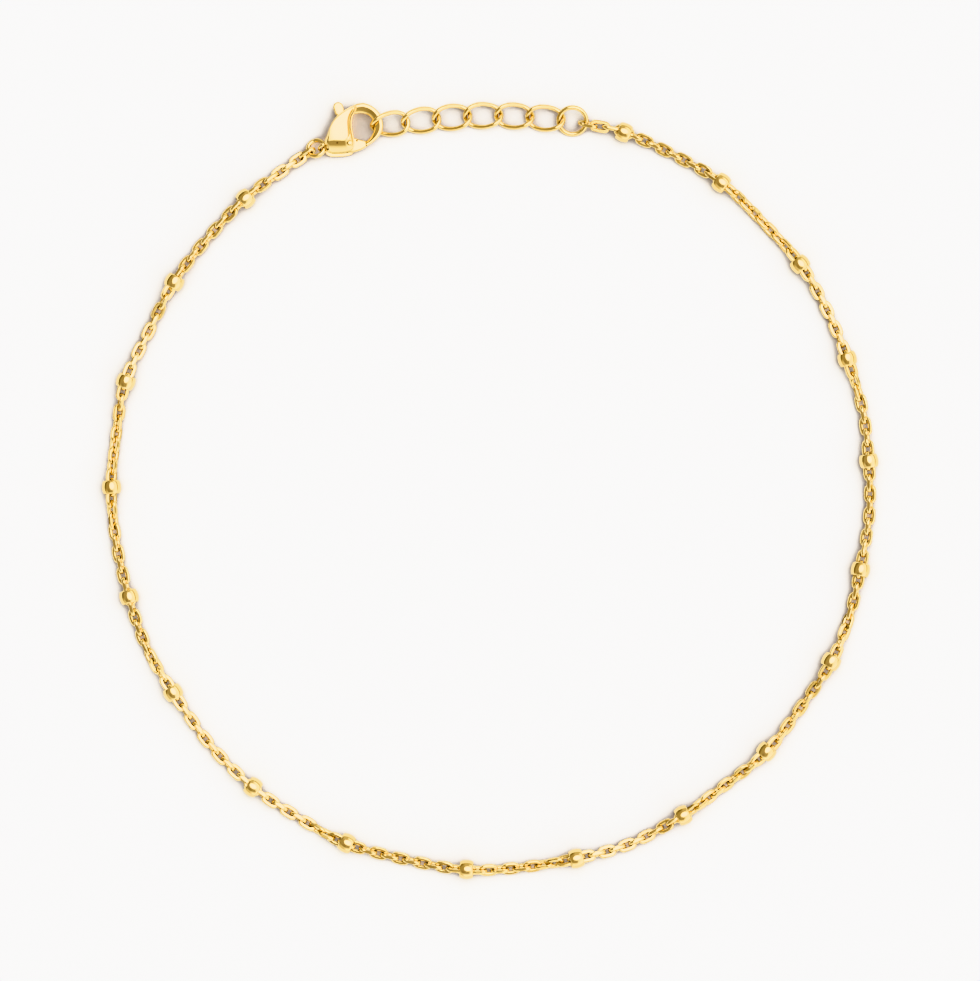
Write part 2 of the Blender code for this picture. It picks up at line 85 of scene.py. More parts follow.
# %% Smooth line and swept wire
def smooth(table, steps, closed=False):
    """Rows of a smooth line through the rows of a table. An open line leaves out both end rows."""
    table = np.asarray(table, float)
    count = len(table)
    share = np.arange(steps)[:, None] / steps
    spans = range(count) if closed else range(1, count - 2)
    line = []
    for k in spans:
        before, start, end, after = (table[(k + j) % count] for j in (-1, 0, 1, 2))
        bend = (2 * before - 5 * start + 4 * end - after) * share**2
        swing = (3 * start - before - 3 * end + after) * share**3
        line.append(0.5 * (2 * start + (end - before) * share + bend + swing))
    if not closed:
        line.append(table[-2][None])
    return np.concatenate(line)


def unit(vectors):
    return vectors / np.linalg.norm(vectors, axis=-1, keepdims=True)


def grid_faces(rows, sides, closed):
    """Four-sided faces between rings of points that follow one another."""
    faces = []
    for k in range(rows if closed else rows - 1):
        here, there = k * sides, (k + 1) % rows * sides
        for j in range(sides):
            after = (j + 1) % sides
            faces.append((here + j, here + after, there + after, there + j))
    if not closed:
        faces.append(tuple(range(sides))[::-1])
        faces.append(tuple(range((rows - 1) * sides, rows * sides)))
    return faces


def wire(line, thickness, sides, closed=True):
    """Points and faces of a round wire along a line that keeps near one plane."""
    line = np.asarray(line, float)
    if closed:
        ahead = unit(np.roll(line, -1, 0) - np.roll(line, 1, 0))
    else:
        ahead = unit(np.gradient(line, axis=0))
    aside = unit(np.cross((0.0, 0.0, 1.0), ahead))
    above = np.cross(ahead, aside)
    angle = 2 * math.pi * (np.arange(sides) + 0.5) / sides
    across = np.cos(angle)[None, :, None] * aside[:, None]
    upward = np.sin(angle)[None, :, None] * above[:, None]
    points = line[:, None] + thickness / 2 * (across + upward)
    return points.reshape(-1, 3), grid_faces(len(line), sides, closed)


def placed(points, matrix):
    """Points moved by a matrix."""
    table = np.array(matrix)
    return points @ table[:3, :3].T + table[:3, 3]


print("a wire ring has", len(wire(smooth(np.eye(3), 4, True), 0.1, 6)[1]), "faces")

# %% [markdown]
# ## Polished gold
# Gold has no colour of its own other than what it mirrors, warmed by the metal: one bounce is pale
# yellow, and light that bounces twice between the wires turns a deep amber. So the base colour is
# light, and the depth comes from the reflections. What sets one piece apart from another is how it
# was worked. Drawn wire keeps faint lines along its length, a cast and tumbled clasp has a very
# soft ripple and tiny marks, and a link that was cut on a lathe is almost a mirror. A small class
# lets such masks be written as sums and products.


# %% Shader maths
class Mask:
    """A socket of a shader graph, so that arithmetic on it adds the nodes that do it."""

    def __init__(self, tree, socket):
        self.tree = tree
        self.socket = socket

    def node(self, kind, settings=None, values=None):
        """Adds a node: its settings first, then the numbers or links of its sockets."""
        node = self.tree.nodes.new(kind)
        for name, setting in (settings or {}).items():
            setattr(node, name, setting)
        for name, value in (values or {}).items():
            if isinstance(value, Mask):
                self.tree.links.new(value.socket, node.inputs[name])
            else:
                node.inputs[name].default_value = value
        return node

    def out(self, node, name=0):
        return Mask(self.tree, node.outputs[name])

    def math(self, operation, first, second=0.0):
        settings = {"operation": operation}
        return self.out(self.node("ShaderNodeMath", settings, {0: first, 1: second}))

    def __add__(self, other):
        return self.math("ADD", self, other)

    __radd__ = __add__

    def __sub__(self, other):
        return self.math("SUBTRACT", self, other)

    def __rsub__(self, other):
        return self.math("SUBTRACT", other, self)

    def __mul__(self, other):
        return self.math("MULTIPLY", self, other)

    __rmul__ = __mul__

    def between(self, low, high):
        """Zero below low, one above high, and a soft step from one to the other."""
        values = {"Value": self, "From Min": low, "From Max": high}
        settings = {"interpolation_type": "SMOOTHSTEP"}
        return self.out(self.node("ShaderNodeMapRange", settings, values))

    def blend(self, first, second):
        """The first colour where the mask is zero, the second where it is one."""
        values = {"Factor": self, "A": first, "B": second}
        return Mask(self.tree, self.node("ShaderNodeMix", {"data_type": "RGBA"}, values).outputs[2])


print("shader maths ready")

# %% [markdown]
# Every gold here starts from the same metal and gets its own working: how rough it is, how fine its
# marks are and how deep the ripple is. In the nooks the gold is painted darker, as painted shade:
# ambient occlusion finds the nooks, within half a millimetre.

# %% Gold finishes
PALE_GOLD = (0.890, 0.695, 0.290, 1.0)
WARM_GOLD = (0.865, 0.645, 0.240, 1.0)
PAINTED_NOOK_SHADE = (0.280, 0.160, 0.045, 1.0)
NOOK_REACH = 0.5 * MM
MARK_DEPTH = 0.02 * MM


def gold(name, roughness, marks, ripple, mark_scale, ripple_scale):
    """Polished gold with soft drifts of tone, painted shade in the nooks, fine marks and a slight
    ripple.
    """
    material = bpy.data.materials.new(name)
    material.use_nodes = True
    tree = material.node_tree
    shader = tree.nodes["Principled BSDF"]
    shader.inputs["Metallic"].default_value = 1.0
    start = Mask(tree, None)
    place = start.out(start.node("ShaderNodeTexCoord"), "Object")

    def noise(scale, detail):
        settings = {"noise_dimensions": "3D"}
        values = {"Vector": place, "Scale": scale, "Detail": detail, "Roughness": 0.6}
        return start.out(start.node("ShaderNodeTexNoise", settings, values), 0)

    drift = noise(180.0, 2.0).between(0.3, 0.7)
    fine = noise(mark_scale, 4.0)
    # Painted shade: the base colour turns dark amber in the nooks that ambient occlusion finds.
    seen = start.node("ShaderNodeAmbientOcclusion", {"samples": 8}, {"Distance": NOOK_REACH})
    open_side = start.out(seen, "AO").between(0.15, 0.80)
    tone = open_side.blend(PAINTED_NOOK_SHADE, drift.blend(PALE_GOLD, WARM_GOLD))
    rough = roughness + (fine.between(0.35, 0.75) - 0.5) * marks
    height = noise(ripple_scale, 2.0) + fine * 0.12
    values = {"Strength": ripple, "Distance": MARK_DEPTH, "Height": height}
    bump = start.node("ShaderNodeBump", None, values)
    tree.links.new(tone.socket, shader.inputs["Base Color"])
    tree.links.new(rough.socket, shader.inputs["Roughness"])
    tree.links.new(bump.outputs["Normal"], shader.inputs["Normal"])
    return material


chain_gold = gold("cut_chain_gold", 0.10, 0.05, 0.15, 6000.0, 1500.0)
bead_gold = gold("tumbled_bead_gold", 0.11, 0.05, 0.20, 5000.0, 1200.0)
wire_gold = gold("drawn_wire_gold", 0.12, 0.06, 0.20, 5000.0, 900.0)
cast_gold = gold("cast_clasp_gold", 0.10, 0.05, 0.12, 4000.0, 600.0)
print("finishes", [m.name for m in (chain_gold, bead_gold, wire_gold, cast_gold)])

# %% [markdown]
# Each finished mesh becomes one piece: it rides on its body, stands for the plain solid that the
# frame shows there, and takes the finish that it is given. Faces are shaded smoothly, but an edge
# that is sharper than a set angle stays a crisp line.


# %% Piece maker
def mesh_of(name, points, faces):
    mesh = bpy.data.meshes.new(name)
    mesh.from_pydata(np.asarray(points).tolist(), [], faces)
    mesh.validate()
    return mesh


def piece(name, mesh, material, nodes, body="anklet", sharp=38):
    """A shown object that stands for nodes of the frame and rides on a body."""
    mesh.shade_smooth()
    mesh.set_sharp_from_angle(angle=math.radians(sharp))
    mesh.materials.clear()
    mesh.materials.append(material)
    made = bpy.data.objects.new(name, mesh)
    bpy.context.scene.collection.objects.link(made)
    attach(made, body)
    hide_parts(*nodes)
    triangles = sum(len(face.vertices) - 2 for face in mesh.polygons)
    print(name, triangles, "triangles")
    return made


# %% [markdown]
# ## The extender and the end ring
# A curb link starts as an oval of wire whose two sides are then twisted, one up and one down, so
# that a row of them lies flat: at each joint the right link passes over at the top and under at the
# bottom. The twist is a height along the oval that rises and falls twice in one turn. The row is
# laid from the end ring towards the clasp, a link's length at a time, with the headings that the
# real one shows, and it climbs a little where the first link hangs over the clasp's hook.
#
# The places are worked out for the nominal wire. Plating and polish leave the finished wire a few
# hundredths of a millimetre fuller, and each link as much longer.

# %% Extender measures
PLAY = 0.1 * MM
LINK_WIRE = 0.4 * MM
LINK_LENGTH = 4.23 * MM
LINK_WIDTH = 2.85 * MM
LINK_TWIST = 0.4 * MM
END_RING_WIRE = 0.42 * MM
END_RING_DIAMETER = 3.4 * MM
END_RING_TILT = math.radians(21)
END_RING_AT = (8.8 * MM, 39.4 * MM)
HOOK_HEIGHT = 1.01 * MM
EXTENDER = (
    # heading, roll
    (6.5, 24.0),
    (6.5, 14.0),
    (5.0, 5.0),
    (1.5, 0.0),
    (-3.0, 0.0),
    (-5.5, 0.0),
)
LINK_POINTS = 56
LINK_SIDES = 18
FULLER = 0.07 * MM


def oval(length, width, thickness, twist, count):
    """Middle line of a link or ring."""
    angle = 2 * math.pi * np.arange(count) / count
    x = (length - thickness) / 2 * np.cos(angle)
    y = (width - thickness) / 2 * np.sin(angle)
    return np.stack([x, y, -twist * np.sin(2 * angle)], axis=1)


def turn(heading, rise=0.0, roll=0.0):
    """Points +X along the heading and upwards by the rise, then rolls about it."""
    yaw = Matrix.Rotation(heading, 4, "Z")
    pitch = Matrix.Rotation(-rise, 4, "Y")
    return yaw @ pitch @ Matrix.Rotation(roll, 4, "X")


def lying_height(roll):
    """Height of a rolled curb link's middle when it rests on the table."""
    line = placed(oval(LINK_LENGTH, LINK_WIDTH, LINK_WIRE, LINK_TWIST, 16), turn(0, 0, roll))
    return LINK_WIRE / 2 - line[:, 2].min()


def extender_places():
    """Matrix of each extender link, from the clasp to the end ring, and of the end ring."""
    reach = (LINK_LENGTH - LINK_WIRE) / 2
    pitch = 2 * reach - LINK_WIRE - PLAY
    ring_reach = (END_RING_DIAMETER - END_RING_WIRE) / 2
    step = reach + ring_reach - (LINK_WIRE + END_RING_WIRE) / 2 - PLAY
    ring_height = ring_reach * math.sin(END_RING_TILT) + END_RING_WIRE / 2
    headings = [math.radians(row[0]) for row in EXTENDER]
    rolls = [math.radians(row[1]) for row in EXTENDER]
    lying = [lying_height(roll) for roll in rolls]
    joints = [HOOK_HEIGHT, *(max(pair) for pair in zip(lying, lying[1:])), ring_height]
    spot = Vector((*END_RING_AT, 0))
    lift = Vector((0, 0, ring_height))
    ring = Matrix.Translation(spot + lift) @ turn(headings[-1], 0.0, END_RING_TILT)
    places = []
    towards = headings[-1]
    for k in reversed(range(len(EXTENDER))):
        between = (headings[k] + towards) / 2
        spot = spot - step * Vector((math.cos(between), math.sin(between), 0))
        lift = Vector((0, 0, (joints[k] + joints[k + 1]) / 2))
        rise = math.atan2(joints[k + 1] - joints[k], pitch)
        places.insert(0, Matrix.Translation(spot + lift) @ turn(headings[k], rise, rolls[k]))
        step, towards = pitch, headings[k]
    return places, ring


link_places, end_ring_place = extender_places()
print("first link at", [round(v / MM, 2) for v in link_places[0].translation])

# %% [markdown]
# The six curb links are one mesh made once and set in six places, so they match as stamped links do.
# The end ring is soldered shut, so its wire has no seam.

# %% Curb links and end ring
curb_line = oval(
    LINK_LENGTH + FULLER, LINK_WIDTH, LINK_WIRE, LINK_TWIST + FULLER / 2, LINK_POINTS
)
curb_points, curb_faces = wire(curb_line, LINK_WIRE + FULLER, LINK_SIDES)
curb_points[:, 2] += FULLER / 2
for k, place in enumerate(link_places, 1):
    name = f"extender_link_{k}"
    mesh = mesh_of(name, placed(curb_points, place), curb_faces)
    piece(f"curb_link_{k}", mesh, wire_gold, [name])

ring_line = oval(END_RING_DIAMETER, END_RING_DIAMETER, END_RING_WIRE, 0.0, LINK_POINTS)
ring_points, ring_faces = wire(ring_line, END_RING_WIRE + FULLER, LINK_SIDES)
ring_mesh = mesh_of("end_ring", placed(ring_points, end_ring_place), ring_faces)
piece("soldered_end_ring", ring_mesh, wire_gold, ["end_ring"])

# %% [markdown]
# ## The clasp's place
# The clasp points along its own heading, and its hook goes through the first link of the extender.
# The rivet is the zero of all its measures. Its eye carries the jump ring, which leans from the eye
# down to the table.

# %% Clasp, eye and jump ring places
CLASP_LENGTH = 7.0 * MM
CLASP_WIDTH = 4.65 * MM
CLASP_HEADING = math.radians(22)
HOOK_WIDTH = 0.95 * MM
HOOK_CENTRE = (0.286 * CLASP_LENGTH, 0.280 * CLASP_WIDTH)
HOOK_REACH = (0.250 * CLASP_LENGTH, 0.376 * CLASP_WIDTH)
HOOKED_ANGLE = math.radians(-20)
HOOK_TIP_DROP = 0.047 * CLASP_WIDTH
EYE_AT = (-0.386 * CLASP_LENGTH, 0.136 * CLASP_WIDTH)
EYE_WIRE = 0.34 * MM
EYE_DIAMETER = 1.44 * MM
EYE_TILT = math.radians(55)
JUMP_RING_WIRE = 0.4 * MM
JUMP_RING_DIAMETER = 2.22 * MM
JUMP_RING_HEADING = math.radians(3)
JUMP_RING_RISE = math.radians(15)
JUMP_RING_TILT = math.radians(-21)


def clasp_matrix():
    """Matrix of the clasp at its rivet, on the table."""
    inside = (LINK_LENGTH - LINK_WIRE) / 2 - LINK_WIRE / 2 - HOOK_WIDTH / 2 - PLAY
    held = link_places[0] @ Vector((-inside, 0, 0))
    below = -math.sin(HOOKED_ANGLE)
    x = HOOK_CENTRE[0] + HOOK_REACH[0] * math.cos(HOOKED_ANGLE)
    y = HOOK_CENTRE[1] + HOOK_REACH[1] * math.sin(HOOKED_ANGLE) - HOOK_TIP_DROP * below * below
    heading = Matrix.Rotation(CLASP_HEADING, 4, "Z")
    rivet = held - heading @ Vector((x, y, 0))
    rivet.z = 0
    return Matrix.Translation(rivet) @ heading


clasp_place = clasp_matrix()
eye_at = clasp_place @ Vector((*EYE_AT, HOOK_HEIGHT))
jump_reach = (JUMP_RING_DIAMETER - JUMP_RING_WIRE) / 2
jump_place = Matrix.Translation(eye_at) @ turn(JUMP_RING_HEADING, JUMP_RING_RISE, JUMP_RING_TILT)
jump_place = jump_place @ Matrix.Translation((-jump_reach, 0, 0))
print("rivet at", [round(v / MM, 2) for v in clasp_place.translation])

# %% [markdown]
# A jump ring is opened with two pliers and pressed shut, so a hair line stays where its ends meet.
# It is one wire with two flat ends a few hundredths of a millimetre apart.

# %% Jump ring
SEAM_ANGLE = math.radians(100)
SEAM_GAP = math.radians(1.6)


def cut_ring(diameter, thickness, seam, gap, count, sides):
    """A ring of wire that is cut through at one place."""
    angle = seam + gap / 2 + (2 * math.pi - gap) * np.arange(count) / (count - 1)
    reach = (diameter - thickness) / 2
    line = np.stack([reach * np.cos(angle), reach * np.sin(angle), 0 * angle], axis=1)
    return wire(line, thickness + FULLER, sides, closed=False)


jump_points, jump_faces = cut_ring(
    JUMP_RING_DIAMETER, JUMP_RING_WIRE, SEAM_ANGLE, SEAM_GAP, LINK_POINTS, LINK_SIDES
)
jump_mesh = mesh_of("jump_ring", placed(jump_points, jump_place), jump_faces)
piece("cut_jump_ring", jump_mesh, wire_gold, ["jump_ring"])

# %% [markdown]
# ## The fine chain
# The chain is a cable chain: plain oval links, each turned a quarter turn from the one before, and
# each real enough to hold its neighbours. Lying on a table, the links lean about 45 degrees either
# way, but a loose chain twists slowly, so in some places every second link shows its open side. The
# outer sides of the links were cut flat, which gives the chain its glitter.
#
# One link is made and filed flat, and copies are set along the route. An array of separate objects
# would be slow to draw and to move, so all the copies are joined in one mesh.

# %% Chain route
CHAIN_WIRE = 0.38 * MM
CHAIN_LINK_LENGTH = 1.9 * MM
CHAIN_LINK_WIDTH = 1.36 * MM
END_LINK_PLAY = 0.17 * MM
CHAIN_PITCH = 1.18 * MM
CHAIN_RISE_LENGTH = 3.0 * MM
CHAIN_WIDTH = 1.25 * MM
BEAD_LENGTH = 1.4 * MM
BEAD_BORE = 0.715 * MM
BEAD_RADIUS = 1.025 * MM
BEAD_SEAT = 1.2 * MM
CHAIN_LEAVES_END_RING = math.radians(-13)
CHAIN_LEAVES_JUMP_RING = math.radians(-146)
CHAIN_ROUTE = (
    # from the jump ring to the end ring, in millimetres; every second point is a bead's middle
    (-22.8, 33.6), (-26.1, 31.1),
    (-30.2, 26.8), (-33.7, 22.2),
    (-36.4, 17.0), (-38.9, 11.6),
    (-39.9, 5.9), (-40.4, 0.3),
    (-39.9, -5.5), (-38.5, -11.4),
    (-36.6, -16.9), (-33.8, -21.6),
    (-29.8, -27.3), (-25.3, -31.7),
    (-20.4, -35.0), (-15.3, -37.7),
    (-8.7, -39.5), (-2.5, -40.5),
    (3.2, -40.3), (9.2, -39.3),
    (14.9, -37.8), (20.6, -34.7),
    (25.1, -31.5), (29.5, -27.9),
    (33.1, -23.3), (36.4, -18.3),
    (38.4, -13.4), (39.5, -8.5),
    (40.5, -2.6), (40.4, 3.1),
    (39.8, 8.5), (38.1, 14.0),
    (36.0, 19.1), (33.1, 24.1),
    (29.3, 28.4), (24.7, 32.8),
    (19.6, 35.8), (14.3, 38.2),
)
ROUTE_STEPS = 40


def chain_hold(ring_matrix, ring_diameter, ring_wire, angle):
    """Matrix of the chain's end link on a ring: +X leads away from the ring."""
    far = (ring_diameter - ring_wire) / 2 + (CHAIN_LINK_LENGTH - CHAIN_WIRE) / 2
    far -= (CHAIN_WIRE + ring_wire) / 2 + END_LINK_PLAY
    around = Matrix.Rotation(angle, 4, "Z")
    upright = Matrix.Rotation(math.radians(90), 4, "X")
    return ring_matrix @ around @ Matrix.Translation((far, 0, 0)) @ upright


first_hold = chain_hold(
    jump_place, JUMP_RING_DIAMETER, JUMP_RING_WIRE, CHAIN_LEAVES_JUMP_RING - JUMP_RING_HEADING
)
last_hold = chain_hold(
    end_ring_place,
    END_RING_DIAMETER,
    END_RING_WIRE,
    CHAIN_LEAVES_END_RING - math.radians(EXTENDER[-1][0]),
)


def fade(distance, flat, length):
    """One up to the flat distance, then falling gently to zero over the length."""
    share = np.clip((distance - flat) / length, 0.0, 1.0)
    return 1.0 - share * share * (3.0 - 2.0 * share)


def chain_route():
    """Points close together along the chain, how far along each is, and where the beads are."""
    ends = []
    for hold in (first_hold, last_hold):
        leaves = hold @ Vector(((CHAIN_LINK_LENGTH - CHAIN_WIRE) / 2 - CHAIN_WIRE / 2, 0, 0))
        ends.append((hold.translation, leaves))
    chosen = [Vector((x * MM, y * MM, 0)) for x, y in CHAIN_ROUTE]
    (first, first_out), (last, last_out) = ends
    behind_first = 2 * first - first_out
    behind_last = 2 * last - last_out
    controls = [behind_first, first, first_out, *chosen, last_out, last, behind_last]
    flat = smooth([(p.x, p.y, 0.0) for p in controls], ROUTE_STEPS)
    run = np.concatenate([[0.0], np.cumsum(np.linalg.norm(np.diff(flat, axis=0), axis=1))])
    beads = [run[ROUTE_STEPS * k] for k in range(3, len(chosen) + 2, 2)]
    level = CHAIN_WIDTH / 2
    near = np.min([np.abs(run - bead) for bead in beads], axis=0)
    lift = (BEAD_RADIUS - level) * fade(near, BEAD_SEAT, CHAIN_RISE_LENGTH)
    lift_first = (first.z - level) * fade(run, 0.0, CHAIN_RISE_LENGTH)
    lift_last = (last.z - level) * fade(run[-1] - run, 0.0, CHAIN_RISE_LENGTH)
    flat[:, 2] = level + np.max([lift, lift_first, lift_last], axis=0)
    return flat, run, beads


route, route_run, bead_runs = chain_route()
print("chain", round(route_run[-1] / MM, 1), "mm from ring to ring,", len(bead_runs), "beads")

# %% [markdown]
# Between two beads there is a whole number of links, so the pitch of each stretch is its length
# shared out. A link sits inside every bead and carries it. The lean of the links drifts along the
# chain and likes to stay near one side, so that in a stretch every second link lies almost open and
# the ones between stand on edge.

# %% Links along the route
MIDDLE_LEAN = 45.0
LEAN_SWING = 32.0
LEAN_STAY = 2.2
SLOW_TWIST_LENGTH = 46 * MM
QUICK_TWIST_LENGTH = 19 * MM
END_TWIST_LENGTH = 6 * MM


def route_at(distance):
    return np.stack([np.interp(distance, route_run, route[:, k]) for k in range(3)], axis=-1)


def link_runs():
    """How far along the route each link's middle is, and the pitch where it is."""
    stops = [0.0, *bead_runs, route_run[-1]]
    runs, pitches = [], []
    for low, high in zip(stops, stops[1:]):
        count = max(round((high - low) / CHAIN_PITCH), 1)
        runs.extend(low + (high - low) * j / count for j in range(count))
        pitches.extend([(high - low) / count] * count)
    runs.append(stops[-1])
    pitches.append(pitches[-1])
    return np.array(runs), np.array(pitches)


runs, pitches = link_runs()
count = len(runs)
wave = np.sin(2 * math.pi * runs / SLOW_TWIST_LENGTH + 0.6)
wave += 0.5 * np.sin(2 * math.pi * runs / QUICK_TWIST_LENGTH + 2.0)
lean = MIDDLE_LEAN + LEAN_SWING * np.tanh(LEAN_STAY * wave)
last_lean = 90.0 if (count - 1) % 2 == 0 else 0.0
at_first = fade(runs, 0.0, END_TWIST_LENGTH)
at_last = fade(runs[-1] - runs, 0.0, END_TWIST_LENGTH)
lean = lean + (90.0 - lean) * at_first + (last_lean - lean) * at_last
roll = np.radians(lean + 90.0 * (np.arange(count) % 2))
print(count, "links, pitch", round(pitches.min() / MM, 3), "to", round(pitches.max() / MM, 3))

# %% [markdown]
# The filed link is cut to the pitch that it has where it lies: its two ends move apart or together
# while its sides stay as they are. Its own axes are then laid along the route, across it and
# upwards, turned by its lean. The first and last links hang upright in their rings.

# %% Chain mesh
CHAIN_POINTS = 26
CHAIN_SIDES = 14
CHAIN_FULLER = 0.08 * MM
CHAIN_WIDER = 0.04 * MM
SIDE_CUT = 0.06 * MM
FACE_CUT = 0.035 * MM


def filed_link():
    """A cable link with its outer sides and its two faces cut flat."""
    angle = 2 * math.pi * np.arange(CHAIN_POINTS) / CHAIN_POINTS
    thickness = CHAIN_WIRE + CHAIN_FULLER
    reach = (CHAIN_LINK_LENGTH - thickness) / 2
    half = (CHAIN_LINK_WIDTH + CHAIN_WIDER - thickness) / 2
    x = reach * np.sign(np.cos(angle)) * np.abs(np.cos(angle)) ** 0.85
    y = half * np.sign(np.sin(angle)) * np.abs(np.sin(angle)) ** 0.8
    points, faces = wire(np.stack([x, y, 0 * angle], axis=1), thickness, CHAIN_SIDES)
    side = (CHAIN_LINK_WIDTH + CHAIN_WIDER) / 2 - SIDE_CUT
    face = thickness / 2 - FACE_CUT
    points[:, 1] = np.clip(points[:, 1], -side, side)
    points[:, 2] = np.clip(points[:, 2], -face, face)
    return points, np.array(faces)


link_points, link_faces = filed_link()
middles = route_at(runs)
ahead = unit(np.gradient(middles, axis=0))
flat_up = unit(np.array([0.0, 0.0, 1.0]) - ahead * ahead[:, 2:])
flat_side = np.cross(flat_up, ahead)
normal = np.cos(roll)[:, None] * flat_up + np.sin(roll)[:, None] * flat_side
across = np.cross(normal, ahead)
longer = (pitches + 2 * (CHAIN_WIRE + CHAIN_FULLER) - CHAIN_LINK_LENGTH) / 2
ends = np.clip(link_points[:, 0] / (0.25 * CHAIN_LINK_LENGTH), -1.0, 1.0)
shaped = np.repeat(link_points[None], count, axis=0)
shaped[..., 0] += longer[:, None] * ends[None]
links = (
    middles[:, None]
    + shaped[..., :1] * ahead[:, None]
    + shaped[..., 1:2] * across[:, None]
    + shaped[..., 2:] * normal[:, None]
)
links[0] = placed(shaped[0], first_hold)
links[-1] = placed(shaped[-1], last_hold)
first_points = np.arange(count) * len(link_points)
chain_faces = (link_faces[None] + first_points[:, None, None]).reshape(-1, 4)
chain_mesh = mesh_of("cable_chain", links.reshape(-1, 3), chain_faces.tolist())
piece("fine_cable_chain", chain_mesh, chain_gold, ["cable_chain"], sharp=32)

# %% [markdown]
# ## The beads
# Each bead is a rondelle: a short fat ring, rounded outside, with a hole that the chain just
# passes through. It was turned from tube and tumbled smooth, so its rims are soft. A profile turned
# about the chain's line makes it. Loose on the chain, each one sits a few degrees askew. The
# nineteen are joined in one mesh.

# %% Bead mesh
BEAD_SIDES = 48
BEAD_STEPS = 3
BEAD_LEAN = math.radians(5)
BEAD_NAMES = [f"bead_{k:02d}" for k in range(1, len(bead_runs) + 1)]
BEAD_PROFILE = (
    # share of half the length, share of the wall from bore to outside
    (0.00, 0.00), (0.45, 0.00), (0.80, 0.01), (0.94, 0.08), (1.00, 0.24), (0.98, 0.42),
    (0.88, 0.60), (0.72, 0.75), (0.52, 0.87), (0.27, 0.965), (0.00, 1.00),
)


def rondelle():
    """A bead about the X axis: a rounded barrel with a straight bore and soft rims."""
    other_half = tuple((-x, wall) for x, wall in BEAD_PROFILE[-2:0:-1])
    table = smooth(BEAD_PROFILE + other_half, BEAD_STEPS, closed=True)
    along = BEAD_LENGTH / 2 * table[:, 0]
    radius = BEAD_BORE + (BEAD_RADIUS - BEAD_BORE) * table[:, 1]
    around = 2 * math.pi * np.arange(BEAD_SIDES) / BEAD_SIDES
    y = radius[None] * np.cos(around)[:, None]
    z = radius[None] * np.sin(around)[:, None]
    points = np.stack([np.broadcast_to(along, y.shape), y, z], axis=-1).reshape(-1, 3)
    return points, np.array(grid_faces(BEAD_SIDES, len(table), True))


bead_points, bead_faces = rondelle()
parts = []
for k, (name, run) in enumerate(zip(BEAD_NAMES, bead_runs)):
    low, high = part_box(name)
    before, after = route_at(run - BEAD_SEAT), route_at(run + BEAD_SEAT)
    aim = Vector(after - before).to_track_quat("X", "Z").to_matrix().to_4x4()
    aim = aim @ turn(BEAD_LEAN * math.sin(2.4 * k), BEAD_LEAN * math.cos(1.7 * k))
    parts.append(placed(bead_points, Matrix.Translation((low + high) / 2) @ aim))
offsets = np.arange(len(parts)) * len(bead_points)
faces = (bead_faces[None] + offsets[:, None, None]).reshape(-1, 4)
beads_mesh = mesh_of("beads", np.concatenate(parts), faces.tolist())
piece("rondelle_beads", beads_mesh, bead_gold, BEAD_NAMES)

# %% [markdown]
# ## The clasp's casing
# A lobster clasp is cast in one with its hook and eye. Its front is a long dome that is almost flat,
# so it mirrors one pale patch of the room with a crisp edge. Round the dome the casing slopes down
# to its rim, most at the tail and below, and along the opening a raised lip follows it with a fine
# groove between. Below the front wall a ledge of the back wall stands out, and the lever turns in
# the slot between the two walls.
#
# The casing is lofted: a table gives points round its outline, the edge of the dome that belongs to
# each, and the heights there. Between them run rings that follow one of two profiles, a slope or a
# lip, mixed by the table's last column.

# %% Casing loft
BACK_WALL = 0.6 * MM
LEVER_THICKNESS = 0.62 * MM
SLOT_TOP = BACK_WALL + LEVER_THICKNESS + 2 * PLAY
CASING = (
    # outline x, y; dome's edge x, y; ledge; height of the front edge; lip
    (-2.66, 0.84, -2.00, 1.08, 0.00, 1.62, 0.0),
    (-2.42, 1.26, -1.86, 1.32, 0.00, 1.74, 0.0),
    (-2.02, 1.66, -1.64, 1.70, 0.00, 1.84, 0.0),
    (-1.60, 2.12, -1.38, 2.12, 0.00, 1.98, 0.0),
    (-1.22, 2.50, -1.05, 2.45, 0.00, 2.02, 0.0),
    (-0.80, 2.86, -0.67, 2.73, 0.00, 2.03, 0.0),
    (-0.28, 3.14, -0.20, 2.97, 0.00, 2.01, 0.0),
    (0.34, 3.36, 0.37, 3.17, 0.00, 1.96, 0.0),
    (0.96, 3.48, 0.94, 3.29, 0.00, 1.88, 0.0),
    (1.66, 3.58, 1.46, 3.36, 0.00, 1.74, 0.0),
    (2.14, 3.52, 1.60, 3.30, 0.00, 1.56, 0.6),
    (1.96, 3.06, 1.34, 3.12, 0.00, 1.50, 1.0),
    (1.42, 2.60, 0.94, 2.76, 0.00, 1.52, 1.0),
    (1.08, 2.06, 0.62, 2.28, 0.00, 1.54, 1.0),
    (0.86, 1.50, 0.40, 1.70, 0.00, 1.56, 1.0),
    (0.72, 0.90, 0.20, 1.10, 0.00, 1.56, 1.0),
    (0.60, 0.34, 0.04, 0.74, 0.00, 1.54, 0.8),
    (0.47, -0.24, -0.14, 0.57, 0.06, 1.54, 0.2),
    (0.20, -0.76, -0.36, 0.54, 0.16, 1.54, 0.0),
    (-0.24, -1.06, -0.60, 0.60, 0.28, 1.52, 0.0),
    (-0.82, -1.04, -1.00, 0.76, 0.33, 1.52, 0.0),
    (-1.42, -0.86, -1.40, 0.91, 0.33, 1.52, 0.0),
    (-2.02, -0.64, -1.72, 1.00, 0.32, 1.50, 0.0),
    (-2.54, -0.36, -1.92, 1.03, 0.28, 1.48, 0.0),
    (-2.74, 0.00, -2.02, 1.03, 0.26, 1.48, 0.0),
    (-2.74, 0.42, -2.05, 1.03, 0.10, 1.50, 0.0),
)
CASING_STEPS = 6
BACK_RINGS = ((0.12, 0.0), (0.05, 0.02), (0.0, 0.09))
RIM = (
    # inset from the front wall's outline, height over the front edge
    (0.0, -0.10), (0.012, -0.045), (0.045, -0.01),
)
RIM_WIDTH = 0.09
